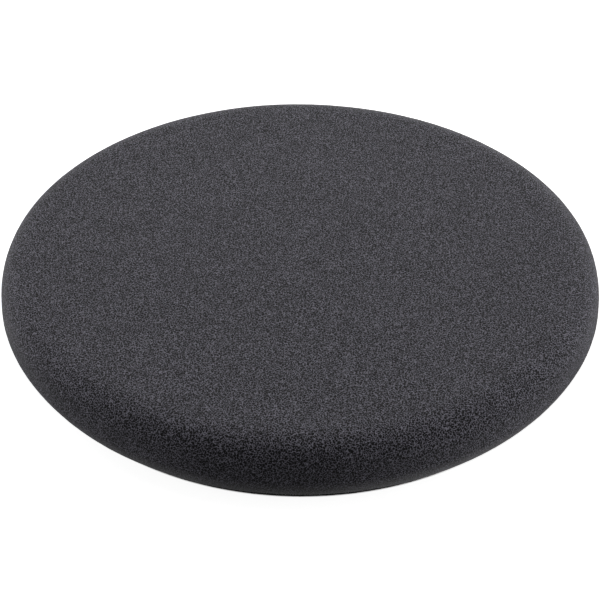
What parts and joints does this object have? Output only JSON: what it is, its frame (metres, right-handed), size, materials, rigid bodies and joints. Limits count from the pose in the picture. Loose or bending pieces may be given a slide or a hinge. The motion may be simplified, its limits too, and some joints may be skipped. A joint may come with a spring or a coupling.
{
  "type": "polishing pad",
  "caption": "Round flat foam polishing pad with a rounded rim, bonded to a slightly smaller knitted disc of nylon loops that grips a hook-faced backing plate.",
  "frame": {"origin": "centre of the loop face, the lowest face, on the pad's axis", "axes": "+Z along the pad's axis, out of the foam's working face; X and Y lie in the loop face, and the pad is round, so any direction serves as +X"},
  "size_m": [0.15, 0.15, 0.02],
  "materials": {
    "foam": "matte open-cell polyurethane foam, charcoal black",
    "film": "satin hot-melt film",
    "cloth": "black warp-knitted polyester ground, fused at its cut edge",
    "loops": "black nylon loop pile, slight sheen"
  },
  "bodies": {
    "root": {"foam_disc": "foam", "adhesive_film": "film", "backing_cloth": "cloth", "loop_pile": "loops"}
  },
  "joints": []
}
